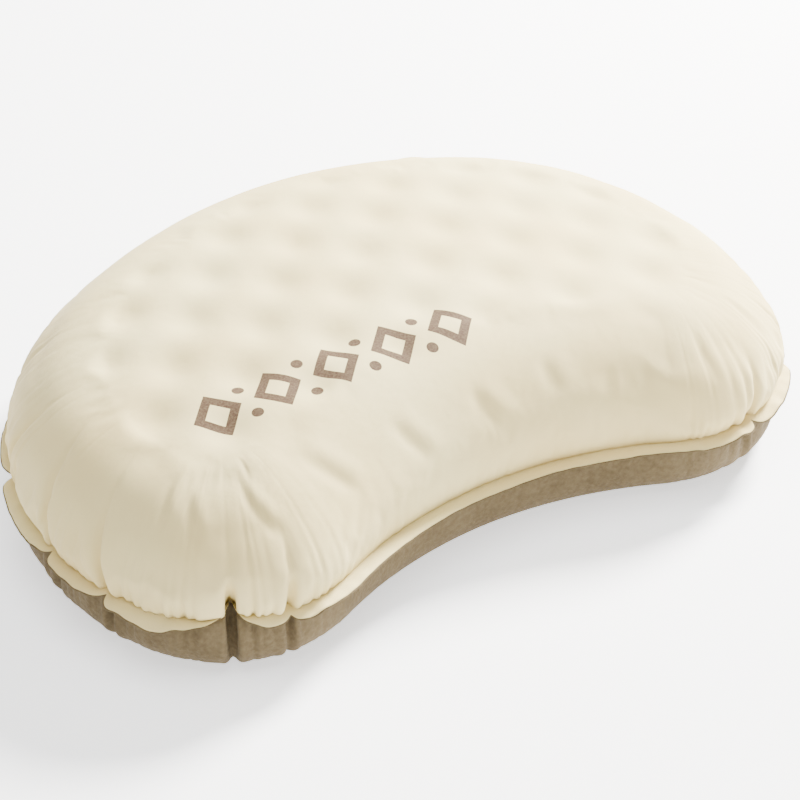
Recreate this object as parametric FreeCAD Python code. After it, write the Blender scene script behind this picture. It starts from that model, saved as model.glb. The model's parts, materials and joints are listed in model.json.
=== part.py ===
"""Self-inflating camp pillow: a kidney-shaped foam core sealed between two fabric panels.

Frame: millimetres, +Z up, +X along the length. -Y is the neck side, where the outline bends inwards.
The origin is on the surface that the pillow rests on, under the middle of its bounding box.

The upper and lower panels are welded together along a seam SEAM_Z above the rest surface, and the weld
leaves a flat flange FLANGE_WIDTH wide all round. The core is one block of open-cell foam with punched
vertical holes. On the rear wall sits a two-stage valve: a flange welded to the upper panel, a plug that
flips out to let the air go, a one-way flap with a release button inside that plug, and a dust cap on top.
"""
import FreeCAD
import Part
import math
import os
from FreeCAD import Placement, Rotation, Vector

# ---- overall size -------------------------------------------------------------------------------------
LENGTH = 460.0           # X, flange edge to flange edge
HEIGHT = 112.0           # Z, rest surface to the top of the crown
SEAM_Z = 38.0            # height of the plane where the two panels meet
FLANGE_WIDTH = 10.0      # welded rim outside the seam
UPPER_FABRIC = 0.8       # coated stretch fabric
LOWER_FABRIC = 1.0       # coated suede
FOAM_GAP = 0.3           # between the foam and each panel

# ---- outline, measured at the flange's edge -----------------------------------------------------------
LOBE_RADIUS = 87.0       # the two front corners
SIDE_RADIUS = 175.0      # the ends
LOBE_TO_SIDE = -25.0     # degrees from +X where the lobe's arc meets the side's arc
SIDE_TO_BACK = 60.0      # degrees from +X where the side's arc meets the back's arc
NECK_DEPTH = 30.0        # how far the middle of the front edge lies behind the lobes

# ---- section ------------------------------------------------------------------------------------------
SHOULDER_RADIUS = 50.0   # rounding between the wall and the crown
BASE_RADIUS = 20.0       # rounding between the wall and the base
CROWN_RADIUS = 1200.0    # curvature of the crown

# ---- foam ---------------------------------------------------------------------------------------------
HOLE_RADIUS = 9.0
HOLE_PITCH_X = 53.3      # along a row
HOLE_PITCH_Y = 29.1      # from row to row; every second row is shifted by half a pitch
FIRST_ROW_Y = 14.0
HOLE_MARGIN = 34.0       # foam left between a hole's centre and the seam

# ---- valve, on its own axis, z = 0 on the outer face of the upper panel -------------------------------
VALVE_AZIMUTH = 68.0     # degrees from +X, seen from above
VALVE_TILT = 8.0         # degrees above the horizon
LAND_RADIUS = 20.5       # flat patch of fabric round the valve
LAND_SINK = 1.5          # how far inside the round wall the flat patch lies, at its middle
WELD_RADIUS = 18.0       # flange disc, welded to the inside of the panel
WELD_THICKNESS = 1.0
COLLAR_RADIUS = 13.0
COLLAR_TOP = 2.6
PANEL_HOLE_CLEARANCE = 0.2
SOCKET_RADIUS = 10.5
SOCKET_WALL = 1.3
SOCKET_END = -8.0        # inner end of the socket tube
SEAL_THICKNESS = 0.6     # flat rings under the plug's rim and under the cap's lid
SEAT_GAP = 0.02          # between faces that only rest on each other
PLUG_RADIUS = 10.0       # at the mouth; the barrel tapers so that it can swing out
PLUG_END_RADIUS = 9.0
PLUG_END = -5.0
RIM_THICKNESS = 1.2
MOUTH_RADIUS = 8.0
SPIDER_TOP = -1.6        # upper face of the four-armed web that carries the hub
SPIDER_THICKNESS = 1.2
SPIDER_ARMS = 4
ARM_WIDTH = 1.6
HUB_RADIUS = 2.6
STEM_RADIUS = 1.2
STEM_CLEARANCE = 0.08
BUTTON_RADIUS = 4.2
BUTTON_THICKNESS = 1.0
BUTTON_GAP = 2.4         # from the hub to the underside of the button
BUTTON_TRAVEL = 2.0
FLAP_RADIUS = 7.2
FLAP_THICKNESS = 0.6
CLIP_RADIUS = 2.4
CLIP_THICKNESS = 0.8
SPRING_WIRE = 0.2        # radius of the spring's wire
SPRING_COIL = 1.8
SPRING_TURNS = 3.5
CAP_THICKNESS = 1.4
CAP_SPIGOT_RADIUS = 7.4
CAP_SPIGOT_WALL = 1.0
CAP_SPIGOT_DEPTH = 1.6
STRAP_WIDTH = 7.0
STRAP_THICKNESS = 0.9
FOLD_X = 16.0            # living hinges: fold line of each strap, on the +x and -x sides of the valve
TAB_LENGTH = 3.2         # finger tab on the cap
TAB_WIDTH = 7.0
REACH = 400.0            # longer than anything it cuts
VALVE_ROOM = 5.0         # left free of foam behind the socket


def direction(degrees):
    return Vector(math.cos(math.radians(degrees)), math.sin(math.radians(degrees)), 0)


# ---- outline ------------------------------------------------------------------------------------------
LOBE_X = LENGTH / 2 - SIDE_RADIUS + (SIDE_RADIUS - LOBE_RADIUS) * math.cos(math.radians(LOBE_TO_SIDE))
_LOBE = Vector(LOBE_X, 0, 0)
_SIDE = _LOBE - direction(LOBE_TO_SIDE) * (SIDE_RADIUS - LOBE_RADIUS)
_SIDE_TO_MIDDLE = _SIDE.x / math.cos(math.radians(SIDE_TO_BACK))
BACK_RADIUS = SIDE_RADIUS + _SIDE_TO_MIDDLE
_BACK = _SIDE - direction(SIDE_TO_BACK) * _SIDE_TO_MIDDLE
_NECK_LINE = LOBE_RADIUS - NECK_DEPTH
NECK_RADIUS = (LOBE_X ** 2 + _NECK_LINE ** 2 - LOBE_RADIUS ** 2) / (2 * NECK_DEPTH)
_NECK = Vector(0, -_NECK_LINE - NECK_RADIUS, 0)

DEPTH = LOBE_RADIUS + _BACK.y + BACK_RADIUS
_CENTRING = Vector(0, LOBE_RADIUS - DEPTH / 2, 0)
LOBE_CENTRE, SIDE_CENTRE, BACK_CENTRE, NECK_CENTRE = (p + _CENTRING for p in (_LOBE, _SIDE, _BACK, _NECK))


def mirrored(point):
    return Vector(-point.x, point.y, point.z)


def outline(inset, z):
    """The closed kidney outline, moved inwards by inset from the flange's edge, at height z."""
    up = Vector(0, 0, z)
    to_neck = (NECK_CENTRE - LOBE_CENTRE).normalize()
    neck_degrees = math.degrees(math.atan2(to_neck.y, to_neck.x)) - 360
    neck_degrees += 360 if neck_degrees < -180 else 0
    lobe = LOBE_RADIUS - inset
    side = SIDE_RADIUS - inset
    neck_joint = LOBE_CENTRE + to_neck * lobe + up
    lobe_middle = LOBE_CENTRE + direction((neck_degrees + LOBE_TO_SIDE) / 2) * lobe + up
    side_joint = LOBE_CENTRE + direction(LOBE_TO_SIDE) * lobe + up
    side_middle = SIDE_CENTRE + direction((LOBE_TO_SIDE + SIDE_TO_BACK) / 2) * side + up
    back_joint = SIDE_CENTRE + direction(SIDE_TO_BACK) * side + up
    back_middle = BACK_CENTRE + Vector(0, BACK_RADIUS - inset, 0) + up
    neck_middle = NECK_CENTRE + Vector(0, NECK_RADIUS + inset, 0) + up
    arcs = [
        (mirrored(neck_joint), neck_middle, neck_joint),
        (neck_joint, lobe_middle, side_joint),
        (side_joint, side_middle, back_joint),
        (back_joint, back_middle, mirrored(back_joint)),
        (mirrored(back_joint), mirrored(side_middle), mirrored(side_joint)),
        (mirrored(side_joint), mirrored(lobe_middle), mirrored(neck_joint)),
    ]
    return Part.Wire([Part.Arc(*points).toShape() for points in arcs])


def slab(inset, bottom, top):
    return Part.Face(outline(inset, bottom)).extrude(Vector(0, 0, top - bottom))


# ---- pillow body --------------------------------------------------------------------------------------
def edges_above(shape, z):
    """Every edge of the shape that lies wholly above height z."""
    return [e for e in shape.Edges if e.BoundBox.ZMin > z]


def edges_below(shape, z):
    return [e for e in shape.Edges if e.BoundBox.ZMax < z]


def dome(depth):
    """Solid of the pillow above the seam, its outer surface moved inwards by depth."""
    crown = Part.makeSphere(CROWN_RADIUS - depth, Vector(0, 0, HEIGHT - CROWN_RADIUS))
    block = slab(FLANGE_WIDTH + depth, SEAM_Z, HEIGHT + 1).common(crown)
    return block.makeFillet(SHOULDER_RADIUS - depth, edges_above(block, SEAM_Z + 1)).Solids[0]


def bowl(depth):
    """Solid of the pillow below the seam, its outer surface moved inwards by depth."""
    block = slab(FLANGE_WIDTH + depth, depth, SEAM_Z)
    return block.makeFillet(BASE_RADIUS - depth, edges_below(block, depth + 0.1)).Solids[0]


# ---- valve frame --------------------------------------------------------------------------------------
def valve_origin():
    """Point where the valve's axis crosses the outer face of the upper panel."""
    start = BACK_CENTRE + direction(VALVE_AZIMUTH) * (BACK_RADIUS - FLANGE_WIDTH - SHOULDER_RADIUS)
    crown_drop = (start.x ** 2 + start.y ** 2) / (2 * CROWN_RADIUS)
    tilt = math.radians(VALVE_TILT)
    out = SHOULDER_RADIUS * math.cos(tilt) - LAND_SINK
    rise = SHOULDER_RADIUS * math.sin(tilt)
    return start + direction(VALVE_AZIMUTH) * out + Vector(0, 0, HEIGHT - SHOULDER_RADIUS - crown_drop + rise)


VALVE_SIDEWAYS = direction(VALVE_AZIMUTH - 90)   # local x: level, along the wall
VALVE_AXIS = direction(VALVE_AZIMUTH) * math.cos(math.radians(VALVE_TILT))
VALVE_AXIS += Vector(0, 0, math.sin(math.radians(VALVE_TILT)))
VALVE_ORIGIN = valve_origin()


def on_wall(shape):
    """Moves a shape from the valve's own frame to its place on the pillow."""
    upward = VALVE_AXIS.cross(VALVE_SIDEWAYS)
    turn = Rotation(VALVE_SIDEWAYS, upward, VALVE_AXIS, "ZXY")
    placed = shape.copy()
    placed.Placement = Placement(VALVE_ORIGIN, turn).multiply(placed.Placement)
    return placed


def disc(radius, bottom, top):
    return Part.makeCylinder(radius, top - bottom, Vector(0, 0, bottom))


def ring(outer, inner, bottom, top):
    return disc(outer, bottom, top).cut(disc(inner, bottom - 1, top + 1))


def with_land(shape, depth):
    """Flattens the wall round the valve, on the surface that lies depth inside the outer one."""
    pocket = disc(LAND_RADIUS + depth, -depth, REACH / 10)
    boss = disc(LAND_RADIUS - depth, -REACH / 20, -depth)
    return shape.cut(on_wall(pocket)).fuse(on_wall(boss))


# ---- pieces of the pillow -----------------------------------------------------------------------------
def upper_panel():
    shell = with_land(dome(0), 0).cut(with_land(dome(UPPER_FABRIC), UPPER_FABRIC))
    inner = FLANGE_WIDTH + UPPER_FABRIC / 2
    rim = slab(0, SEAM_Z, SEAM_Z + UPPER_FABRIC).cut(slab(inner, SEAM_Z - 1, SEAM_Z + 2))
    hole = disc(COLLAR_RADIUS + PANEL_HOLE_CLEARANCE, -REACH / 20, REACH / 20)
    return shell.fuse(rim).cut(on_wall(hole)).removeSplitter()


def lower_panel():
    shell = bowl(0).cut(bowl(LOWER_FABRIC))
    inner = FLANGE_WIDTH + LOWER_FABRIC / 2
    rim = slab(0, SEAM_Z - LOWER_FABRIC, SEAM_Z).cut(slab(inner, SEAM_Z - 2, SEAM_Z + 1))
    return shell.fuse(rim).removeSplitter()


def hole_centres():
    """Places of the punched holes: staggered rows, kept HOLE_MARGIN inside the seam."""
    room = Part.Face(outline(FLANGE_WIDTH + HOLE_MARGIN, 0))
    rows = int(DEPTH / HOLE_PITCH_Y)
    columns = int(LENGTH / HOLE_PITCH_X)
    for row in range(-rows, rows + 1):
        for column in range(-columns, columns + 1):
            place = Vector((column + row % 2 / 2) * HOLE_PITCH_X, FIRST_ROW_Y + row * HOLE_PITCH_Y, 0)
            if room.isInside(place, 0.01, True):
                yield place


def foam_core():
    upper = with_land(dome(UPPER_FABRIC + FOAM_GAP), UPPER_FABRIC + FOAM_GAP)
    core = upper.fuse(bowl(LOWER_FABRIC + FOAM_GAP))
    holes = [Part.makeCylinder(HOLE_RADIUS, HEIGHT, place) for place in hole_centres()]
    valve_room = disc(WELD_RADIUS + 1, SOCKET_END - VALVE_ROOM, 0)
    return core.cut(Part.makeCompound(holes)).cut(on_wall(valve_room)).removeSplitter()


# ---- pieces of the valve ------------------------------------------------------------------------------
SPIDER_BOTTOM = SPIDER_TOP - SPIDER_THICKNESS
FOLD_Z = COLLAR_TOP + SEAL_THICKNESS
RIM_TOP = FOLD_Z + RIM_THICKNESS
LID_BOTTOM = RIM_TOP + SEAL_THICKNESS
CAP_FOLD_Z = LID_BOTTOM
BUTTON_BOTTOM = SPIDER_TOP + BUTTON_GAP
FLAP_TOP = SPIDER_BOTTOM - SEAT_GAP
FLAP_BOTTOM = FLAP_TOP - FLAP_THICKNESS
STEM_END = FLAP_BOTTOM - CLIP_THICKNESS


def strap_leaf(side, bottom):
    """Half of a living hinge: a flat leaf from a rim out to the fold line, on side +1 or -1."""
    start = COLLAR_RADIUS - 1
    leaf = Part.makeBox(FOLD_X - start, STRAP_WIDTH, STRAP_THICKNESS, Vector(start, -STRAP_WIDTH / 2, bottom))
    return leaf if side > 0 else leaf.mirror(Vector(), Vector(1, 0, 0))


def valve_flange():
    """Weld disc, collar, socket tube and the fixed leaf of the plug's strap, in one moulding."""
    weld = disc(WELD_RADIUS, -UPPER_FABRIC - WELD_THICKNESS, -UPPER_FABRIC)
    collar = disc(COLLAR_RADIUS, -UPPER_FABRIC - WELD_THICKNESS, COLLAR_TOP)
    tube = disc(SOCKET_RADIUS + SOCKET_WALL, SOCKET_END, 0)
    bore = disc(SOCKET_RADIUS, SOCKET_END - 1, COLLAR_TOP + 1)
    seal_seat = disc(COLLAR_RADIUS, COLLAR_TOP, RIM_TOP)
    leaf = strap_leaf(1, FOLD_Z - SEAT_GAP - STRAP_THICKNESS).cut(seal_seat)
    return weld.fuse([collar, tube, leaf]).cut(bore).removeSplitter()


def valve_plug():
    """Flip-out plug: rim with two strap leaves, tapered barrel, and the web that carries the hub."""
    barrel = Part.makeCone(PLUG_END_RADIUS, PLUG_RADIUS, FOLD_Z - PLUG_END, Vector(0, 0, PLUG_END))
    rim = disc(COLLAR_RADIUS, FOLD_Z, RIM_TOP)
    leaves = [strap_leaf(1, FOLD_Z), strap_leaf(-1, CAP_FOLD_Z - SEAT_GAP - STRAP_THICKNESS)]
    mouth = disc(MOUTH_RADIUS, SPIDER_TOP, LID_BOTTOM + 1)
    throat = disc(MOUTH_RADIUS, PLUG_END - 1, SPIDER_BOTTOM)
    lid_seat = disc(COLLAR_RADIUS, RIM_TOP, LID_BOTTOM + 1)
    windows = ring(FLAP_RADIUS - 1.2, HUB_RADIUS, SPIDER_BOTTOM - 1, SPIDER_TOP + 1)
    length = 2 * MOUTH_RADIUS
    arm = Part.makeBox(length, ARM_WIDTH, SPIDER_THICKNESS, Vector(-length / 2, -ARM_WIDTH / 2, SPIDER_BOTTOM))
    for i in range(SPIDER_ARMS // 2):
        turned = arm.copy()
        turned.rotate(Vector(), Vector(0, 0, 1), 360 * i / SPIDER_ARMS)
        windows = windows.cut(turned)
    stem_hole = disc(STEM_RADIUS + STEM_CLEARANCE, SPIDER_BOTTOM - 1, SPIDER_TOP + 1)
    body = barrel.fuse([rim] + leaves)
    return body.cut([mouth, throat, lid_seat, windows, stem_hole]).removeSplitter()


def plug_seal():
    """Flat ring under the plug's rim, which closes on the collar."""
    return ring(COLLAR_RADIUS - 0.3, PLUG_RADIUS, COLLAR_TOP + SEAT_GAP, FOLD_Z)


def release_button():
    """Thumb button with its stem, which carries the flap on its inner end."""
    top = BUTTON_BOTTOM + BUTTON_THICKNESS
    head = disc(BUTTON_RADIUS, BUTTON_BOTTOM, top)
    head = head.makeFillet(BUTTON_THICKNESS * 0.4, edges_above(head, top - 0.1))
    return head.fuse(disc(STEM_RADIUS, STEM_END, BUTTON_BOTTOM)).removeSplitter()


def check_flap():
    """Soft one-way disc that closes the plug's windows from the inside."""
    return ring(FLAP_RADIUS, STEM_RADIUS, FLAP_BOTTOM, FLAP_TOP)


def flap_clip():
    return ring(CLIP_RADIUS, STEM_RADIUS, STEM_END, FLAP_BOTTOM)


def button_spring():
    """Small coil spring round the stem, between the hub and the button's head."""
    gap = SPRING_WIRE + SEAT_GAP
    length = BUTTON_GAP - 2 * gap
    path = Part.Wire(Part.makeHelix(length / SPRING_TURNS, length, SPRING_COIL))
    section = Part.Wire(Part.makeCircle(SPRING_WIRE, Vector(SPRING_COIL, 0, 0), Vector(0, 1, 0)))
    return path.makePipeShell([section], True, True).translated(Vector(0, 0, SPIDER_TOP + gap))


def dust_cap():
    """Lid with a shallow spigot that fits the mouth, a finger tab and its leaf of the strap."""
    top = LID_BOTTOM + CAP_THICKNESS
    lid = disc(COLLAR_RADIUS, LID_BOTTOM, top)
    lid = lid.makeFillet(0.5, edges_above(lid, top - 0.1))
    spigot_end = RIM_TOP - CAP_SPIGOT_DEPTH
    spigot = ring(CAP_SPIGOT_RADIUS, CAP_SPIGOT_RADIUS - CAP_SPIGOT_WALL, spigot_end, LID_BOTTOM)
    tab_corner = Vector(COLLAR_RADIUS - 1, -TAB_WIDTH / 2, LID_BOTTOM)
    tab = Part.makeBox(TAB_LENGTH + 1, TAB_WIDTH, STRAP_THICKNESS, tab_corner)
    return lid.fuse([spigot, tab, strap_leaf(-1, LID_BOTTOM)]).removeSplitter()


def cap_seal():
    """Flat ring under the cap's lid, which closes on the plug's rim."""
    return ring(COLLAR_RADIUS - 1.2, MOUTH_RADIUS + 0.2, RIM_TOP + SEAT_GAP, LID_BOTTOM)


PILLOW_PIECES = {
    "upper_panel": upper_panel,
    "lower_panel": lower_panel,
    "foam_core": foam_core,
}
VALVE_PIECES = {
    "valve_flange": valve_flange,
    "valve_plug": valve_plug,
    "plug_seal": plug_seal,
    "release_button": release_button,
    "button_spring": button_spring,
    "check_flap": check_flap,
    "flap_clip": flap_clip,
    "dust_cap": dust_cap,
    "cap_seal": cap_seal,
}

os.makedirs("parts", exist_ok=True)
for name, make in PILLOW_PIECES.items():
    make().exportStep("parts/" + name + ".step")
for name, make in VALVE_PIECES.items():
    on_wall(make()).exportStep("parts/" + name + ".step")
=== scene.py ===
"""Looks of the self-inflating camp pillow: two welded fabric panels round a foam core, with a flip valve.

Lengths are in metres. Every place on the pillow is given by s, the distance along the flange's edge from
the middle of the neck side (positive towards +X), and by t, the distance up or down the wall from the seam.
The panels are swollen by a cloth simulation, then gathered and creased; the valve's pieces are the CAD's own.
"""
import json
import math

import bmesh
import bpy
import numpy as np
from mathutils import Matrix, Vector
from mathutils.geometry import delaunay_2d_cdt


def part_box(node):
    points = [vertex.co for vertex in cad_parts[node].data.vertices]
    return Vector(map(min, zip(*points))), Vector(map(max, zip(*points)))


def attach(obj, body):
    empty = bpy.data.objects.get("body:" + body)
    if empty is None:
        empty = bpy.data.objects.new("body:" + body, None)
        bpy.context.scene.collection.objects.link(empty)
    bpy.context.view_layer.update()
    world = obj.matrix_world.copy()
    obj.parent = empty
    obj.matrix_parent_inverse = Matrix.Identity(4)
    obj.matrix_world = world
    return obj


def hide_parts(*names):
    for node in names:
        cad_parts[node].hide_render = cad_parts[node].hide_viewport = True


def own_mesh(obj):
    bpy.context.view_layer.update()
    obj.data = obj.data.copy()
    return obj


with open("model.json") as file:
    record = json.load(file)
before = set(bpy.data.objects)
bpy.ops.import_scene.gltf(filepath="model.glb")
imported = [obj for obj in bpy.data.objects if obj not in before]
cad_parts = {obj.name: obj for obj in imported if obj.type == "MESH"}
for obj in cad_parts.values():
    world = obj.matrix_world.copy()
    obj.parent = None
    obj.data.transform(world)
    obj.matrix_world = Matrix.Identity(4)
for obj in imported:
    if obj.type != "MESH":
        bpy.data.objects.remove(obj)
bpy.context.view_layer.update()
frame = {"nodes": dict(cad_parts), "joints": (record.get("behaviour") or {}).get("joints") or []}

MM = 0.001

# ---- shape of the pillow -----------------------------------------------------------------------------
PANEL_LOW, PANEL_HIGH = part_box("upper_panel")
SEAM_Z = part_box("lower_panel")[1][2]
LENGTH = PANEL_HIGH[0] - PANEL_LOW[0]
HEIGHT = PANEL_HIGH[2]
FLANGE = 0.010           # width of the welded flange
WALL_INSET = 0.0085     # the walls stand a little over the weld
LOBE_RADIUS = 0.087
SIDE_RADIUS = 0.175
LOBE_TO_SIDE = math.radians(-25)
SIDE_TO_BACK = math.radians(60)
NECK_DEPTH = 0.030
CROWN_RADIUS = 0.95      # of the top's shallow dome
SHOULDER = 0.053         # rounding from the wall into the top
BASE_ROUND = 0.020       # rounding from the base's wall onto the ground
BASE_BELLY = 0.0015      # how far the base's wall stands out past the seam
TAUT_BELLY = 0.0012      # the same above the seam, on the taut neck side
SLACK_BELLY = 0.0026     # and what is added to it where the cloth is slack
BELLY_HEIGHT = 0.046     # how far up the wall the belly goes
OVERHANG = 0.0016        # the slack wall's foot stands out over the flange
SEAM_PINCH = 0.0005

# ---- creases: where the flange buckles inwards -------------------------------------------------------
# s, depth of the flange's notch, depth of the body's groove, height of the groove, lean (s per t)
CREASES_MM = [
    (-620, 5, 3.0, 26, 0.1), (-560, 6, 4.0, 34, -0.1), (-505, 5, 3.0, 26, 0.1), (-433, 9, 5.0, 30, -0.1),
    (-373, 10, 5.0, 34, 0.1), (-301, 7, 4.0, 46, -0.45), (-255, 7, 4.5, 40, -0.35), (-180, 20, 12.0, 21, 0.0),
    (-147, 6, 5.0, 26, 0.1), (160, 7, 4.0, 26, 0.2), (225, 7, 4.0, 30, 0.1), (286, 8, 4.5, 34, -0.1),
    (341, 6, 4.0, 28, 0.15), (402, 9, 5.0, 34, -0.1), (468, 7, 4.0, 30, 0.0), (523, 6, 3.5, 26, 0.1),
    (585, 7, 4.0, 32, -0.1),
]
# Shallow folds of the front slope: (s, t) of the upper end, (s, t) of the lower end, depth
FOLDS_MM = [
    ((-4, 59), (9, 34), 1.5), ((-50, 61), (-36, 34), 1.5), ((-96, 67), (-82, 38), 1.7),
    ((-165, 66), (-140, 38), 1.4), ((37, 62), (44, 42), 1.1), ((71, 50), (70, 34), 0.8),
    ((80, 49), (81, 34), 0.7), ((88, 47), (90, 32), 0.6), ((-215, 62), (-196, 38), 1.2),
    ((-240, 70), (-226, 42), 1.0), ((130, 60), (136, 30), 1.0), ((200, 62), (196, 34), 0.9),
]
# Single waves of the flange: s, half width, height of its edge
FLANGE_WAVES_MM = [(-222, 9, -2.6), (-208, 7, 1.2), (146, 9, 1.8), (170, 8, -1.4), (-410, 10, 1.6)]
HOLE_PITCH_X = 0.0533
HOLE_PITCH_Y = 0.0291
FIRST_ROW_Y = 0.014
DIMPLE_DEPTH = 0.0036
DIMPLE_SPREAD = 0.0085


def direction(angle):
    return np.array([math.cos(angle), math.sin(angle)])


def arc_centres():
    """Centres of the neck's, the lobe's, the side's and the back's arcs, and the radii that follow."""
    lobe = np.array([LENGTH / 2 - SIDE_RADIUS + (SIDE_RADIUS - LOBE_RADIUS) * math.cos(LOBE_TO_SIDE), 0])
    side = lobe - (SIDE_RADIUS - LOBE_RADIUS) * direction(LOBE_TO_SIDE)
    to_middle = side[0] / math.cos(SIDE_TO_BACK)
    back = side - to_middle * direction(SIDE_TO_BACK)
    line = LOBE_RADIUS - NECK_DEPTH
    neck_radius = (lobe[0] ** 2 + line ** 2 - LOBE_RADIUS ** 2) / (2 * NECK_DEPTH)
    neck = np.array([0, -line - neck_radius])
    depth = LOBE_RADIUS + back[1] + SIDE_RADIUS + to_middle
    shift = np.array([0, LOBE_RADIUS - depth / 2])
    return neck + shift, lobe + shift, side + shift, back + shift, neck_radius, SIDE_RADIUS + to_middle


NECK, LOBE, SIDE, BACK, NECK_RADIUS, BACK_RADIUS = arc_centres()
NECK_ANGLE = math.atan2(LOBE[0], LOBE[1] - NECK[1])
LOBE_START = math.atan2(*(NECK - LOBE)[::-1])
ARC_ENDS = np.cumsum([NECK_RADIUS * NECK_ANGLE, LOBE_RADIUS * (LOBE_TO_SIDE - LOBE_START),
                      SIDE_RADIUS * (SIDE_TO_BACK - LOBE_TO_SIDE),
                      BACK_RADIUS * (math.pi / 2 - SIDE_TO_BACK)])
HALF = ARC_ENDS[-1]


def outline(s):
    """Points on the flange's edge and the outward normals there."""
    s = (np.asarray(s, float) + HALF) % (2 * HALF) - HALF
    sign, d = np.where(s < 0, -1.0, 1.0), np.abs(s)
    turn = d / NECK_RADIUS
    arcs = [(NECK, -NECK_RADIUS, -np.stack([np.sin(turn), np.cos(turn)], -1))]
    starts = (LOBE_START, LOBE_TO_SIDE, SIDE_TO_BACK)
    for centre, radius, start, begun in zip((LOBE, SIDE, BACK), (LOBE_RADIUS, SIDE_RADIUS, BACK_RADIUS),
                                            starts, ARC_ENDS):
        angle = start + (d - begun) / radius
        arcs.append((centre, radius, np.stack([np.cos(angle), np.sin(angle)], -1)))
    which = np.searchsorted(ARC_ENDS[:3], d)
    point, normal = np.zeros(s.shape + (2,)), np.zeros(s.shape + (2,))
    for i, (centre, radius, outward) in enumerate(arcs):
        here = which == i
        point[here] = (centre + radius * outward)[here]
        normal[here] = outward[here]
    point[..., 0] *= sign
    normal[..., 0] *= sign
    return point, normal


def smooth(x, low, high):
    w = np.clip((x - low) / (high - low), 0, 1)
    return w * w * (3 - 2 * w)


def apart(s, place):
    """Signed distance along the edge from place to s, the short way round."""
    return (s - place + HALF) % (2 * HALF) - HALF


def noise(s, wave, seed):
    """Smooth noise along the edge, from -1 to 1, that closes on itself; wave is its typical length."""
    source = np.random.RandomState(seed)
    turns = 2 * HALF / wave
    value = np.zeros_like(np.asarray(s, float))
    for k in range(7):
        n = max(1, round(turns * (0.6 + 0.13 * k)))
        wave_at = np.sin(math.pi * n * s / HALF + source.uniform(0, 2 * math.pi))
        value = value + wave_at * source.uniform(0.5, 1)
    return value / 2.6


def slackness(s):
    """0 along the taut neck side, 1 round the lobes, the ends and the back."""
    return smooth(np.abs(s), 0.085, 0.150)


def notch(s):
    """How far the flange is drawn inwards."""
    depth = np.zeros_like(s)
    for place, flange, _, _, _ in CREASES_MM:
        gap = apart(s, place * MM)
        # one side laps over the other, so it ends in a step, away from the pillow's front left
        stepped = flange < 15
        side = 1 if place < 0 else -1
        width = np.where(stepped & (gap * side > 0), 1.6, 3.8 + 0.24 * flange) * MM
        depth = depth + flange * MM * np.exp(-(np.sqrt(gap ** 2 + (0.3 * MM) ** 2) / width) ** 0.9)
    return depth


def groove(s, t, above):
    """How far the panel is drawn inwards, t along the wall from the seam."""
    depth = np.zeros_like(s)
    for place, _, body, height, lean in CREASES_MM:
        body = body * MM
        if above:
            fade = np.exp(-(t / (0.85 * height * MM)) ** 1.8)
            broad = 0.24 * np.exp(-(t / (1.5 * height * MM)) ** 2)
            width = 1.7 * MM + 0.05 * t + 0.14 * body
        else:
            fade = np.clip(1 - (t / 0.047) ** 2, 0, 1)
            broad = 0.24 * np.exp(-(t / 0.010) ** 2)
            width = 1.0 * MM + 0.07 * body
        gap = np.sqrt(apart(s, place * MM + lean * t * above) ** 2 + (0.4 * MM) ** 2)
        flank = 0.22 * np.exp(-((gap - 2.6 * width) / (1.3 * width)) ** 2)
        sharp = np.exp(-(gap / width) ** 1.1) - (flank if body < 0.010 else 0)
        depth = depth + body * (fade * sharp + broad * np.exp(-(gap / (4.5 * width)) ** 2))
    return depth


# ---- camera and light --------------------------------------------------------------------------------
CAMERA_AZIMUTH = math.radians(-32.0)
CAMERA_ELEVATION = math.radians(38.0)
CAMERA_DISTANCE = 1.331
CAMERA_AIM = Vector((0, -0.0092, 0))
level_part = math.cos(CAMERA_ELEVATION)
camera_back = Vector((math.sin(CAMERA_AZIMUTH) * level_part, -math.cos(CAMERA_AZIMUTH) * level_part,
                      math.sin(CAMERA_ELEVATION)))
camera = bpy.data.objects.new("camera", bpy.data.cameras.new("camera"))
bpy.context.scene.collection.objects.link(camera)
camera.data.sensor_width = 36
camera.data.lens = 103.8
camera.data.shift_x = 0.0222
camera.data.shift_y = 0.0417
camera.data.clip_start = 0.05
camera.location = CAMERA_AIM + camera_back * CAMERA_DISTANCE
camera.rotation_euler = camera_back.to_track_quat("Z", "Y").to_euler()
bpy.context.scene.camera = camera


def area_light(name, place, aim, size, power, colour=(1, 1, 1)):
    light = bpy.data.lights.new(name, "AREA")
    light.shape = "DISK"
    light.size = size
    light.energy = power
    light.color = colour
    o = bpy.data.objects.new(name, light)
    bpy.context.scene.collection.objects.link(o)
    o.location = place
    o.rotation_euler = (Vector(place) - Vector(aim)).to_track_quat("Z", "Y").to_euler()


area_light("key", (1.55, 0.45, 1.25), (0, 0, 0.05), 0.6, 350, (1.0, 0.98, 0.95))
area_light("fill", (1.2, -1.5, 0.9), (0, 0, 0.05), 1.6, 14, (1.0, 0.99, 0.97))
area_light("top", (-0.2, -0.2, 1.9), (0, 0, 0), 1.6, 38)
world = bpy.data.worlds.new("world")
bpy.context.scene.world = world
world.use_nodes = True
world.node_tree.nodes["Background"].inputs["Color"].default_value = (1, 1, 1, 1)
world.node_tree.nodes["Background"].inputs["Strength"].default_value = 0.50


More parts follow.
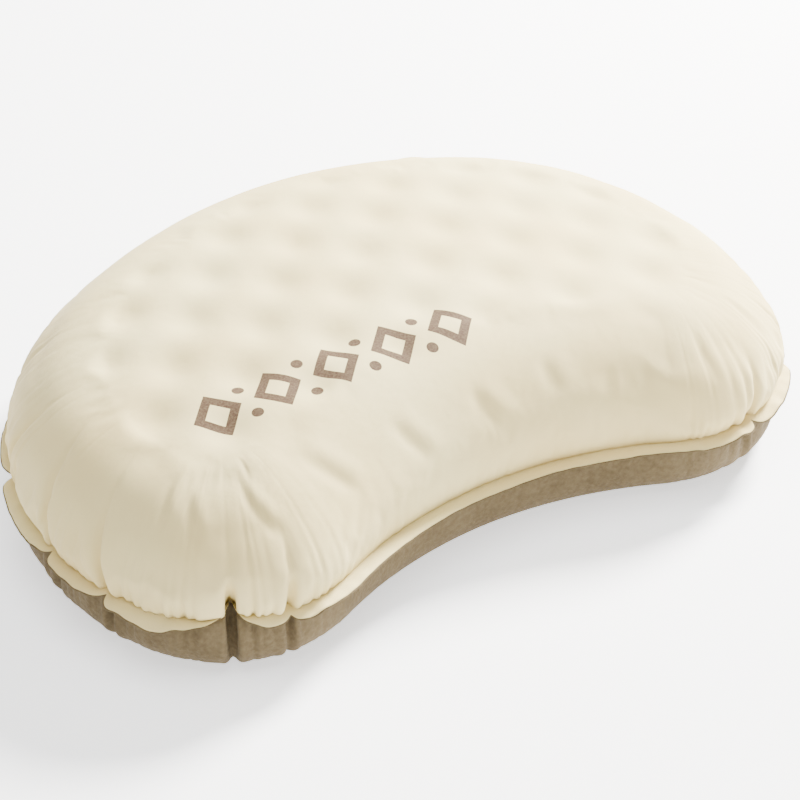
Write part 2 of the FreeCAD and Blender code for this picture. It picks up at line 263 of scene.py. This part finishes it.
# ---- materials ---------------------------------------------------------------------------------------
class Nodes:
    """Short forms for building a node material."""

    def __init__(self, name, roughness, **settings):
        self.material = bpy.data.materials.new(name)
        self.material.use_nodes = True
        self.tree = self.material.node_tree
        self.shader = self.tree.nodes["Principled BSDF"]
        self.shader.inputs["Roughness"].default_value = roughness
        for key, value in settings.items():
            self.shader.inputs[key.replace("_", " ")].default_value = value
        self.place = self.add("ShaderNodeTexCoord").outputs["Object"]

    def add(self, kind, **settings):
        node = self.tree.nodes.new(kind)
        for key, value in settings.items():
            setattr(node, key, value)
        return node

    def link(self, source, target):
        if hasattr(source, "is_linked"):
            self.tree.links.new(source, target)
        else:
            target.default_value = source

    def noise(self, scale, detail=3.0, stretch=None):
        node = self.add("ShaderNodeTexNoise")
        node.inputs["Scale"].default_value = scale
        node.inputs["Detail"].default_value = detail
        source = self.place
        if stretch:
            mapping = self.add("ShaderNodeMapping")
            mapping.inputs["Scale"].default_value = stretch
            self.link(source, mapping.inputs["Vector"])
            source = mapping.outputs["Vector"]
        self.link(source, node.inputs["Vector"])
        return node.outputs["Fac"]

    def math(self, operation, a, b=0.0, clamp=False):
        node = self.add("ShaderNodeMath", operation=operation, use_clamp=clamp)
        self.link(a, node.inputs[0])
        self.link(b, node.inputs[1])
        return node.outputs[0]

    def ramp(self, value, low, high, to_low=0.0, to_high=1.0):
        node = self.add("ShaderNodeMapRange")
        for key, v in (("Value", value), ("From Min", low), ("From Max", high),
                       ("To Min", to_low), ("To Max", to_high)):
            self.link(v, node.inputs[key])
        return node.outputs["Result"]

    def mix(self, factor, a, b):
        node = self.add("ShaderNodeMix", data_type="RGBA")
        self.link(factor, node.inputs[0])
        for colour, target in ((a, node.inputs[6]), (b, node.inputs[7])):
            self.link(colour if hasattr(colour, "is_linked") else (*colour, 1.0), target)
        return node.outputs[2]

    def colour(self, output):
        self.link(output, self.shader.inputs["Base Color"])

    def bump(self, height, distance, strength=1.0, under=None):
        node = self.add("ShaderNodeBump")
        node.inputs["Distance"].default_value = distance
        node.inputs["Strength"].default_value = strength
        self.link(height, node.inputs["Height"])
        if under:
            self.link(under, node.inputs["Normal"])
        self.link(node.outputs["Normal"], self.shader.inputs["Normal"])
        return node.outputs["Normal"]


CREAM_LIGHT = (0.75, 0.64, 0.315)
CREAM_WARM = (0.70, 0.555, 0.245)
MARK_BROWN = (0.052, 0.019, 0.005)
KHAKI_LIGHT = (0.138, 0.103, 0.053)
KHAKI_DARK = (0.090, 0.065, 0.032)
THREAD = 0.0005          # spacing of the cream fabric's threads
WEAVE_RISE = 0.71

MARK_X = (-0.149, 0.023)
MARK_Y = (-0.0840, -0.0530)
MARK_CELLS = 5
MARK_DOT = 0.0032        # radius of the dots between the lozenges
MARK_TILT = -0.045       # the row's end turns towards -Y, y per x


def weave(n, spacing):
    """Height of a plain weave: two crossed sets of threads, over and under."""
    split = n.add("ShaderNodeSeparateXYZ")
    n.link(n.place, split.inputs[0])
    sets = []
    for side in (0, 1):
        # part of z goes into both directions, so the threads also cross on the upright walls
        place = n.math("ADD", split.outputs[side], n.math("MULTIPLY", split.outputs[2], WEAVE_RISE))
        sets.append(n.math("ABSOLUTE", n.math("SINE", n.math("MULTIPLY", place, math.pi / spacing))))
    return n.math("MULTIPLY", *sets)


def mark_mask(n):
    """1 inside the printed row of outlined lozenges with dots between them, 0 outside."""
    split = n.add("ShaderNodeSeparateXYZ")
    n.link(n.place, split.inputs[0])
    pitch = (MARK_X[1] - MARK_X[0]) / MARK_CELLS
    x = n.math("DIVIDE", n.math("SUBTRACT", split.outputs[0], MARK_X[0]), pitch)
    half = (MARK_Y[1] - MARK_Y[0]) / 2
    lean = n.math("MULTIPLY", n.math("SUBTRACT", split.outputs[0], MARK_X[1]), MARK_TILT)
    level = n.math("SUBTRACT", n.math("SUBTRACT", split.outputs[1], (MARK_Y[0] + MARK_Y[1]) / 2), lean)
    y = n.math("DIVIDE", level, half)
    inside = n.math("MULTIPLY", n.math("GREATER_THAN", x, 0.0), n.math("LESS_THAN", x, MARK_CELLS))
    cell = n.math("SUBTRACT", n.math("FRACT", x), 0.5)
    slant = n.math("ADD", n.math("DIVIDE", n.math("ABSOLUTE", cell), 0.40), n.math("ABSOLUTE", y))
    lozenge = n.math("MULTIPLY", n.math("LESS_THAN", slant, 1.0), n.math("GREATER_THAN", slant, 0.52))
    seam_cell = n.math("SUBTRACT", 0.5, n.math("ABSOLUTE", cell))
    dx = n.math("MULTIPLY", seam_cell, pitch)
    dy = n.math("MULTIPLY", n.math("SUBTRACT", n.math("ABSOLUTE", y), 0.68), half)
    far = n.math("SQRT", n.math("ADD", n.math("POWER", dx, 2.0), n.math("POWER", dy, 2.0)))
    ends = n.math("MULTIPLY", n.math("GREATER_THAN", x, 0.3), n.math("LESS_THAN", x, MARK_CELLS - 0.3))
    dots = n.math("MULTIPLY", n.math("LESS_THAN", far, MARK_DOT), ends)
    both = n.math("MAXIMUM", lozenge, dots)
    high = n.math("GREATER_THAN", split.outputs[2], SEAM_Z + 0.02)
    return n.math("MULTIPLY", n.math("MULTIPLY", both, inside), high)


def cream_fabric():
    n = Nodes("cream_fabric", 0.75, Sheen_Weight=0.08, Sheen_Roughness=0.5, Specular_IOR_Level=0.28)
    n.shader.inputs["Sheen Tint"].default_value = (1.0, 0.96, 0.88, 1)
    tone = n.ramp(n.noise(9.0, 2.0), 0.35, 0.68)
    base = n.mix(tone, CREAM_LIGHT, CREAM_WARM)
    speck = n.ramp(n.noise(2600.0, 2.0), 0.3, 0.7, 0.0, 0.16)
    base = n.mix(speck, base, (0.56, 0.46, 0.20))
    threads = weave(n, THREAD)
    # painted shade: the gaps between the threads, where the weave's height is low, are darkened by up to a
    # tenth towards a darker cream
    base = n.mix(n.ramp(threads, 0.0, 1.0, 0.10, 0.0), base, (0.52, 0.42, 0.18))
    print_wear = n.ramp(n.noise(900.0, 2.0), 0.25, 0.75, 0.90, 1.0)
    n.colour(n.mix(n.math("MULTIPLY", mark_mask(n), print_wear), base, MARK_BROWN))
    soft = n.bump(n.noise(160.0, 3.0), 0.0006, 0.35)
    n.bump(threads, 0.00012, 0.55, under=soft)
    return n.material


def khaki_suede():
    n = Nodes("khaki_suede", 0.92, Sheen_Weight=0.12, Sheen_Roughness=0.4, Specular_IOR_Level=0.2)
    n.shader.inputs["Sheen Tint"].default_value = (0.80, 0.68, 0.50, 1)
    nap = n.ramp(n.noise(420.0, 5.0), 0.3, 0.7)
    brushed = n.ramp(n.noise(45.0, 3.0, (1.0, 1.8, 1.0)), 0.35, 0.65)
    base = n.mix(nap, KHAKI_DARK, KHAKI_LIGHT)
    n.colour(n.mix(n.math("MULTIPLY", brushed, 0.35), base, (0.165, 0.125, 0.065)))
    under = n.bump(n.noise(1500.0, 4.0), 0.0003, 0.8)
    n.bump(nap, 0.0005, 0.5, under=under)
    return n.material


def moulding(name, light, dark, roughness, **settings):
    n = Nodes(name, roughness, **settings)
    n.colour(n.mix(n.ramp(n.noise(140.0, 3.0), 0.35, 0.65), light, dark))
    n.bump(n.noise(1900.0, 3.0), 0.00008, 0.6)
    return n.material


def steel():
    n = Nodes("spring_steel", 0.32, Metallic=1.0)
    n.colour(n.mix(n.noise(900.0, 3.0, (1, 1, 6)), (0.66, 0.66, 0.65), (0.50, 0.50, 0.50)))
    n.bump(n.noise(5000.0, 2.0), 0.00002, 0.5)
    return n.material


def foam_material():
    n = Nodes("foam", 0.95)
    cells = n.add("ShaderNodeTexVoronoi")
    cells.inputs["Scale"].default_value = 900.0
    n.link(n.place, cells.inputs["Vector"])
    pores = n.ramp(cells.outputs["Distance"], 0.1, 0.6)
    # painted shade: the pores, the low pits of the foam's bump, are painted darker than the cell walls
    n.colour(n.mix(pores, (0.50, 0.46, 0.30), (0.80, 0.76, 0.58)))
    n.bump(pores, 0.0004, 0.8)
    return n.material


def floor_material():
    n = Nodes("floor", 0.8, Specular_IOR_Level=0.1)
    n.colour(n.mix(n.ramp(n.noise(500.0, 2.0), 0.3, 0.7), (0.93, 0.93, 0.93), (0.955, 0.955, 0.955)))
    n.shader.inputs["Emission Color"].default_value = (1, 1, 1, 1)
    n.shader.inputs["Emission Strength"].default_value = 1.15
    n.bump(n.noise(900.0, 2.0), 0.0002, 0.2)
    return n.material


CREAM = cream_fabric()
KHAKI = khaki_suede()


# ---- meshes ------------------------------------------------------------------------------------------
def make_object(name, points, faces, material):
    mesh = bpy.data.meshes.new(name)
    mesh.from_pydata([tuple(p) for p in points], [], faces)
    mesh.validate()
    mesh.update()
    mesh.polygons.foreach_set("use_smooth", [True] * len(mesh.polygons))
    mesh.materials.append(material)
    o = bpy.data.objects.new(name, mesh)
    bpy.context.scene.collection.objects.link(o)
    return o


def points_of(mesh):
    flat = np.zeros(len(mesh.vertices) * 3)
    mesh.vertices.foreach_get("co", flat)
    return flat.reshape(-1, 3)


def set_points(mesh, points):
    mesh.vertices.foreach_set("co", np.asarray(points, float).ravel())
    mesh.update()


def normals_of(mesh):
    flat = np.zeros(len(mesh.vertices) * 3)
    mesh.vertex_normals.foreach_get("vector", flat)
    return flat.reshape(-1, 3)


def apply_modifiers(o):
    """Replaces the object's mesh by what its modifiers make of it."""
    graph = bpy.context.evaluated_depsgraph_get()
    mesh = bpy.data.meshes.new_from_object(o.evaluated_get(graph))
    o.modifiers.clear()
    o.data = mesh


AROUND = 560             # points round the seam
EDGE_S = np.arange(AROUND) * 2 * HALF / AROUND - HALF
TOP_RINGS = 26
BASE_RINGS = 12
FILL_SPACING = 0.0052


def crown(xy):
    return HEIGHT - (xy ** 2).sum(-1) / (2 * CROWN_RADIUS)


def upper_section(s, w):
    """Inset from the flange's edge and height, from the seam (w = 0) to the crown (w = 1)."""
    edge, normal = outline(s)
    top = crown(edge - (WALL_INSET + SHOULDER) * normal)
    wall = top - SHOULDER - SEAM_Z
    along = w * (wall + SHOULDER * math.pi / 2)
    angle = np.clip((along - wall) / SHOULDER, 0, math.pi / 2)
    inset = WALL_INSET + SHOULDER * (1 - np.cos(angle))
    height = SEAM_Z + np.minimum(along, wall) + SHOULDER * np.sin(angle)
    # the fabric bellies out over the seam, most where it is slack
    belly = TAUT_BELLY + SLACK_BELLY * slackness(s)
    inset = inset - belly * np.sin(math.pi * np.clip(along / BELLY_HEIGHT, 0, 1)) ** 0.7
    inset = inset + SEAM_PINCH * np.exp(-along / 0.003) - OVERHANG * slackness(s) * np.exp(-along / 0.02)
    return inset, height, along


def lower_section(s, w):
    """The same for the base, from the seam (w = 0) down to the ground (w = 1)."""
    wall = SEAM_Z - BASE_ROUND
    along = w * (wall + BASE_ROUND * math.pi / 2) + 0 * s
    angle = np.clip((along - wall) / BASE_ROUND, 0, math.pi / 2)
    inset = WALL_INSET + BASE_ROUND * (1 - np.cos(angle))
    height = SEAM_Z - np.minimum(along, wall) - BASE_ROUND * np.sin(angle)
    inset = inset + SEAM_PINCH * np.exp(-along / 0.003)
    inset = inset - BASE_BELLY * np.sin(math.pi * np.clip(along / 0.045, 0, 1))
    return inset, height, along


def ring(s, w, above):
    section = upper_section if above else lower_section
    inset, height, along = section(s, w)
    inset = inset + groove(s, along, above)
    edge, normal = outline(s)
    return np.column_stack([edge - inset[:, None] * normal, height])


def hole_field(xy):
    """1 at the middle of each hole in the foam, falling to 0 between them."""
    value = np.zeros(len(xy))
    for row in range(-6, 6):
        for column in range(-5, 6):
            place = np.array([(column + row % 2 / 2) * HOLE_PITCH_X, FIRST_ROW_Y + row * HOLE_PITCH_Y])
            value = np.maximum(value, np.exp(-((xy - place) ** 2).sum(-1) / (2 * DIMPLE_SPREAD ** 2)))
    return value


def fill(inner):
    """Triangulates the flat middle inside a closed ring, with a hexagonal grid of points."""
    low, high = inner.min(0), inner.max(0)
    grid = []
    for j, y in enumerate(np.arange(low[1], high[1], FILL_SPACING * math.sqrt(3) / 2)):
        for x in np.arange(low[0] + j % 2 * FILL_SPACING / 2, high[0], FILL_SPACING):
            grid.append((x, y))
    grid = np.array(grid)
    gap = np.sqrt(((grid[:, None] - inner[None]) ** 2).sum(-1)).min(1)
    grid = grid[gap > FILL_SPACING * 0.6]
    count = len(inner)
    points = [Vector(p) for p in inner] + [Vector(p) for p in grid]
    edges = [(i, (i + 1) % count) for i in range(count)]
    out, _, faces, origin, _, _ = delaunay_2d_cdt(points, edges, [], 1, 1e-7)
    source = [o[0] for o in origin]
    allowed = [tuple(source[i] for i in f) for f in faces]
    return grid, allowed


def half_body(above, rings):
    """Points and faces of one panel from the seam inwards; the first AROUND points are the seam's."""
    weights = np.linspace(0, 1, rings + 1)
    layers = [ring(EDGE_S, w, above) for w in weights]
    inner = layers[-1][:, :2]
    grid, middle = fill(inner)
    height = crown(grid) if above else np.zeros(len(grid))
    points = np.vstack(layers + [np.column_stack([grid, height])])
    faces = []
    for k in range(rings):
        for i in range(AROUND):
            j = (i + 1) % AROUND
            quad = (k * AROUND + i, k * AROUND + j, (k + 1) * AROUND + j, (k + 1) * AROUND + i)
            faces.append(quad if above else quad[::-1])
    start = rings * AROUND
    for f in middle:
        faces.append(tuple(start + i for i in (f if above else f[::-1])))
    return points, faces


upper_points, upper_faces = half_body(True, TOP_RINGS)
lower_points, lower_faces = half_body(False, BASE_RINGS)


def joined():
    """Both panels as one closed bag that shares the seam's points."""
    seam = np.arange(AROUND)
    offset = len(upper_points) - AROUND
    renumber = np.concatenate([seam, np.arange(AROUND, len(lower_points)) + offset])
    points = np.vstack([upper_points, lower_points[AROUND:]])
    faces = upper_faces + [tuple(int(renumber[i]) for i in f) for f in lower_faces]
    return points, faces, renumber



def edge_place(xy):
    """For points of the plane, the nearest s on the edge and how far inside the edge they lie."""
    samples = np.arange(-HALF, HALF, 0.002)
    edge, normal = outline(samples)
    s, inset = np.zeros(len(xy)), np.zeros(len(xy))
    for start in range(0, len(xy), 4000):
        block = xy[start:start + 4000]
        nearest = ((block[:, None] - edge[None]) ** 2).sum(-1).argmin(1)
        away = block - edge[nearest]
        n = normal[nearest]
        along = away[:, 0] * -n[:, 1] + away[:, 1] * n[:, 0]
        s[start:start + 4000] = samples[nearest] + along
        inset[start:start + 4000] = -(away * n).sum(-1)
    return s, inset


_, upper_inset = edge_place(upper_points[:, :2])
dip = hole_field(upper_points[:, :2]) * smooth(upper_inset, 0.040, 0.066)
upper_points[:, 2] -= DIMPLE_DEPTH * dip
bag_points, bag_faces, lower_index = joined()
bag = make_object("bag", bag_points, bag_faces, CREAM)


CLOTH_FRAMES = 22


def simulate(o, points):
    """Lets the bag swell under pressure, with slack cloth near the seam, and keeps the wrinkles it makes."""
    s, _ = edge_place(points[:, :2])
    high = points[:, 2] - SEAM_Z
    near = np.exp(-(np.abs(high) / 0.020) ** 2)
    slack = o.vertex_groups.new(name="slack")
    held = o.vertex_groups.new(name="held")
    taut = 1 - near * (0.25 + 0.75 * slackness(s))
    hold = np.where(points[:, 2] < 0.0015, 1.0, np.exp(-(np.abs(high) / 0.0035) ** 2))
    for i in range(len(points)):
        slack.add([i], float(taut[i]), "REPLACE")
        if hold[i] > 0.05:
            held.add([i], float(hold[i]), "REPLACE")
    cloth = o.modifiers.new("cloth", "CLOTH")
    settings = cloth.settings
    settings.quality = 6
    settings.mass = 0.12
    settings.tension_stiffness = 22
    settings.compression_stiffness = 22
    settings.shear_stiffness = 6
    settings.bending_stiffness = 0.25
    settings.use_pressure = True
    settings.uniform_pressure_force = 1.6
    settings.shrink_min = -0.06
    settings.shrink_max = 0.004
    settings.vertex_group_shrink = "slack"
    settings.vertex_group_mass = "held"
    settings.effector_weights.gravity = 0
    cloth.collision_settings.use_collision = False
    cloth.point_cache.frame_start = 1
    cloth.point_cache.frame_end = CLOTH_FRAMES + 2
    scene = bpy.context.scene
    for frame_number in range(1, CLOTH_FRAMES + 1):
        scene.frame_set(frame_number)
    apply_modifiers(o)
    scene.frame_set(1)
    moved = points_of(o.data) - points
    far = np.linalg.norm(moved, axis=1)
    limit = (0.0015 + 0.0025 * np.exp(-(np.abs(high) / 0.022) ** 2))
    moved *= (np.tanh(far / limit) * limit / np.maximum(far, 1e-9))[:, None]
    return points + moved


bag_points = simulate(bag, bag_points)
set_points(bag.data, bag_points)
bag_normals = normals_of(bag.data)
bpy.data.objects.remove(bag)


def refine(name, points, faces, material):
    o = make_object(name, points, faces, material)
    o.modifiers.new("round", "SUBSURF").levels = 1
    apply_modifiers(o)
    return o


def pleats(s, t):
    """Fine gathers that run up from the weld, a few millimetres apart, and die out within 30 mm."""
    phase = s / 0.0072 * 2 * math.pi + 3.2 * noise(s, 0.050, 3)
    ridge = (0.5 - 0.5 * np.cos(phase)) ** 1.6
    strength = 0.22 + 0.78 * slackness(s)
    patch = np.clip(0.60 + 0.55 * noise(s, 0.045, 5), 0.15, 1.1)
    reach = 0.019 + 0.011 * np.clip(noise(s, 0.016, 9), -0.7, 1.2)
    broad = 0.5 + 0.5 * np.sin(s / 0.019 * 2 * math.pi + 3.0 * noise(s, 0.07, 13))
    fine = 0.0019 * ridge * np.exp(-(t / reach) ** 1.2) * patch
    return (fine + 0.0015 * broad * np.exp(-(t / 0.024) ** 1.6) * patch) * strength


def crisp(s, t, above):
    """The sharp bottom of each crease."""
    depth = np.zeros_like(s)
    for place, _, body, height, lean in CREASES_MM:
        gap = np.abs(apart(s, place * MM + lean * t * above))
        size = 0.00065 * min(body, 6.0)
        reach = height * MM if above else 0.034
        line = np.exp(-(gap / 0.0017) ** 1.3) - 0.28 * np.exp(-((gap - 0.0048) / 0.0026) ** 2)
        depth = depth + size * line * np.exp(-(t / reach) ** 2.4)
    return depth


def fold_lines(s, t):
    depth = np.zeros_like(s)
    for (s0, t0), (s1, t1), size in FOLDS_MM:
        a, b = np.array([s0, t0]) * MM, np.array([s1, t1]) * MM
        line = b - a
        length = np.linalg.norm(line)
        line = line / length
        ds, dt = apart(s, a[0]), t - a[1]
        along = (ds * line[0] + dt * line[1]) / length
        across = -ds * line[1] + dt * line[0]
        bend = across + 0.0016 * np.sin(math.pi * np.clip(along, 0, 1))
        body = np.exp(-((along - 0.5) / 0.42) ** 4)
        dent = np.exp(-(bend / 0.0040) ** 2) - 0.7 * np.exp(-((bend - 0.0080) / 0.0052) ** 2)
        depth = depth + 0.62 * size * MM * body * dent
    return depth


def wall_distance(points, s, inset, above):
    """Distance along the wall from the seam, for points on the wall or the shoulder."""
    if not above:
        return SEAM_Z - points[:, 2] + np.clip(inset - FLANGE, 0, None) * 0.6
    top = crown(outline(s)[0] * 0.65)
    wall = top - SHOULDER - SEAM_Z
    up = points[:, 2] - SEAM_Z
    angle = np.arcsin(np.clip((up - wall) / SHOULDER, 0, 1))
    return np.where(up < wall, up, wall + SHOULDER * angle) + np.clip(inset - FLANGE - SHOULDER, 0, None)


def detail(o, above):
    points = points_of(o.data)
    normals = normals_of(o.data)
    s, inset = edge_place(points[:, :2])
    t = np.clip(wall_distance(points, s, inset, above), 0, None)
    inward = pleats(s, t) + crisp(s, t, above)
    if above:
        inward = inward + fold_lines(s, t)
    level = np.abs(points[:, 2]) < 0.0012
    inward[level & (not above)] = 0
    # both panels move level at the seam, so they stay together
    normals[:, 2] *= smooth(np.abs(points[:, 2] - SEAM_Z), 0.0, 0.012)
    normals /= np.maximum(np.linalg.norm(normals, axis=1), 1e-6)[:, None]
    moved = points - normals * inward[:, None]
    if not above:
        moved[:, 2] = np.maximum(moved[:, 2], 0.0)
    set_points(o.data, moved)


upper = refine("pillow_top", bag_points[:len(upper_points)], upper_faces, CREAM)
lower = refine("pillow_base", bag_points[lower_index], lower_faces, KHAKI)
detail(upper, True)
detail(lower, False)


def foam_piece():
    """The foam block just inside the panels, hollowed where the valve reaches in."""
    s, inset = edge_place(bag_points[:, :2])
    above = bag_points[:, 2] > SEAM_Z
    t = np.clip(np.where(above, wall_distance(bag_points, s, inset, True),
                         wall_distance(bag_points, s, inset, False)), 0, None)
    drawn = np.where(above, crisp(s, t, True), crisp(s, t, False))
    points = bag_points - (0.0034 + np.clip(drawn, 0, None))[:, None] * bag_normals
    points[:, 2] = np.maximum(points[:, 2], 0.0012)
    away = points - VALVE_ORIGIN
    high = away @ VALVE_AXIS
    radius = np.linalg.norm(away - high[:, None] * VALVE_AXIS, axis=1)
    pocket = np.minimum(high, -0.0135 + 0.03 * smooth(radius, 0.019, 0.032))
    close = (np.abs(high) < 0.04) & (radius < 0.032)
    points = np.where(close[:, None], points + (pocket - high)[:, None] * VALVE_AXIS, points)
    return make_object("foam_block", points, bag_faces, foam_material())


# ---- flange ------------------------------------------------------------------------------------------
FLANGE_AROUND = 1760
FLANGE_S = np.arange(FLANGE_AROUND) * 2 * HALF / FLANGE_AROUND - HALF
FLANGE_STEPS = 12
TUCK = 0.0035            # how far the flange reaches in under the panels


def flange_surface(s, out):
    """Middle of the welded flange, out from the seam (0) to its edge (FLANGE)."""
    edge, normal = outline(s)
    drawn = notch(s)
    share = np.clip(out / FLANGE, 0, 1)
    body = groove(s, np.zeros_like(s), True)
    inward = body * (1 - share) + drawn * share
    slack = slackness(s)
    droop = (0.0022 * slack + 0.0012 * noise(s, 0.075, 21) * (0.25 + slack)) * share ** 1.5
    lift = 0.30 * drawn * share
    for place, width, height in FLANGE_WAVES_MM:
        lift = lift + height * MM * np.exp(-(apart(s, place * MM) / (width * MM)) ** 2) * share
    ripple = 0.0005 * noise(s, 0.014, 23) * share * (0.3 + 0.7 * slack)
    inset = FLANGE - out + inward
    xy = edge - inset[:, None] * normal
    z = SEAM_Z - droop + lift + ripple
    return np.column_stack([xy, z])


def flange_strip(name, material, top, bottom, edge_out):
    """A closed band between two offsets from the flange's middle, out to edge_out."""
    outs = np.linspace(-TUCK, edge_out, FLANGE_STEPS + 1)
    upper_side, lower_side = [], []
    for k, out in enumerate(outs):
        middle = flange_surface(FLANGE_S, np.full(FLANGE_AROUND, out))
        round_off = (top - bottom) * 0.35 if k == FLANGE_STEPS else 0.0
        emboss = 0.00012 * math.sin(out / 0.0016 * math.pi) ** 2 if out > 0.001 and k < FLANGE_STEPS else 0.0
        upper_side.append(middle + np.array([0, 0, top - round_off - emboss]))
        lower_side.append(middle + np.array([0, 0, bottom + round_off]))
    layers = upper_side + lower_side[::-1]
    points = np.vstack(layers)
    faces = []
    for k in range(len(layers)):
        n = (k + 1) % len(layers)
        for i in range(FLANGE_AROUND):
            j = (i + 1) % FLANGE_AROUND
            corners = ((k, i), (n, i), (n, j), (k, j))
            faces.append(tuple(layer * FLANGE_AROUND + place for layer, place in corners))
    return make_object(name, points, faces, material)


upper_flange = flange_strip("flange_top", CREAM, 0.0006, 0.0001, FLANGE - 0.0003)
lower_flange = flange_strip("flange_base", KHAKI, 0.0001, -0.0006, FLANGE + 0.0003)


# ---- where the valve sits ----------------------------------------------------------------------------
FOLD_HEIGHT = 0.0032     # the strap's folds lie this far out from the valve's origin


def valve_frame():
    """Origin, axis and sideways direction of the valve, from its joints."""
    joints = {j["name"]: j for j in frame["joints"]}
    axis = -np.array(joints["button_press"]["axis"], float)
    axis /= np.linalg.norm(axis)
    up = -np.array(joints["plug_flip"]["axis"], float)
    up /= np.linalg.norm(up)
    sideways = np.cross(up, axis)
    pivots = [np.array(joints[name]["pos_m"], float) for name in ("plug_flip", "cap_flip")]
    middle = (pivots[0] + pivots[1]) / 2
    reach = (pivots[0] - middle) @ axis
    return middle + axis * (reach - FOLD_HEIGHT), axis, sideways / np.linalg.norm(sideways)


VALVE_ORIGIN, VALVE_AXIS, VALVE_SIDEWAYS = valve_frame()
LAND_RADIUS = 0.0205     # flat land of the panel round the valve
HOLE_RADIUS = 0.0125     # opening in the panel, under the collar


def seat_valve(o):
    """Draws the fabric flat onto the valve's weld disc, and opens it inside the collar."""
    points = points_of(o.data)
    away = points - VALVE_ORIGIN
    high = away @ VALVE_AXIS
    radius = np.linalg.norm(away - high[:, None] * VALVE_AXIS, axis=1)
    near = np.abs(high) < 0.03
    weight = np.where(near, 1 - smooth(radius, LAND_RADIUS * 0.93, LAND_RADIUS * 1.55), 0)
    bead = 0.0004 * np.exp(-((radius - LAND_RADIUS * 0.87) / 0.0012) ** 2)
    points = points + ((bead + 0.0001 - high) * weight)[:, None] * VALVE_AXIS
    set_points(o.data, points)
    inside = near & (radius < HOLE_RADIUS - 0.0006)
    work = bmesh.new()
    work.from_mesh(o.data)
    work.verts.ensure_lookup_table()
    bmesh.ops.delete(work, geom=[work.verts[i] for i in np.where(inside)[0]], context="VERTS")
    work.to_mesh(o.data)
    work.free()


seat_valve(upper)
foam = foam_piece()

for piece, thickness in ((upper, 0.0005), (lower, 0.0006)):
    shell = piece.modifiers.new("thickness", "SOLIDIFY")
    shell.thickness = thickness
    shell.offset = -1
    apply_modifiers(piece)


for piece, slot in ((upper, "cream_fabric"), (upper_flange, "cream_fabric"), (lower, "khaki_suede"),
                    (lower_flange, "khaki_suede"), (foam, "foam")):
    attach(piece, "pillow")
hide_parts("upper_panel")
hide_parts("lower_panel")
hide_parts("foam_core")

VALVE_MATERIALS = {
    "valve_flange": moulding("valve_moulding", (0.42, 0.34, 0.235), (0.37, 0.295, 0.20), 0.42),
    "plug_seal": moulding("seal_rubber", (0.74, 0.73, 0.69), (0.66, 0.65, 0.60), 0.5),
    "release_button": moulding("button_plastic", (0.25, 0.205, 0.145), (0.21, 0.17, 0.12), 0.38),
    "button_spring": steel(),
}
for node, like in {"valve_plug": "valve_flange", "dust_cap": "valve_flange", "check_flap": "plug_seal",
                   "cap_seal": "plug_seal", "flap_clip": "release_button"}.items():
    VALVE_MATERIALS[node] = VALVE_MATERIALS[like]
for node, material in VALVE_MATERIALS.items():
    o = frame["nodes"][node]
    o.data.materials.clear()
    o.data.materials.append(material)

# The button's spring gets a mesh of its own.
spring = frame["nodes"]["button_spring"]
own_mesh(spring)

FLOOR_CORNERS = [(-60, -60, 0), (60, -60, 0), (60, 60, 0), (-60, 60, 0)]
floor = make_object("floor", FLOOR_CORNERS, [(0, 1, 2, 3)], floor_material())
floor.location.z = -0.4 * MM
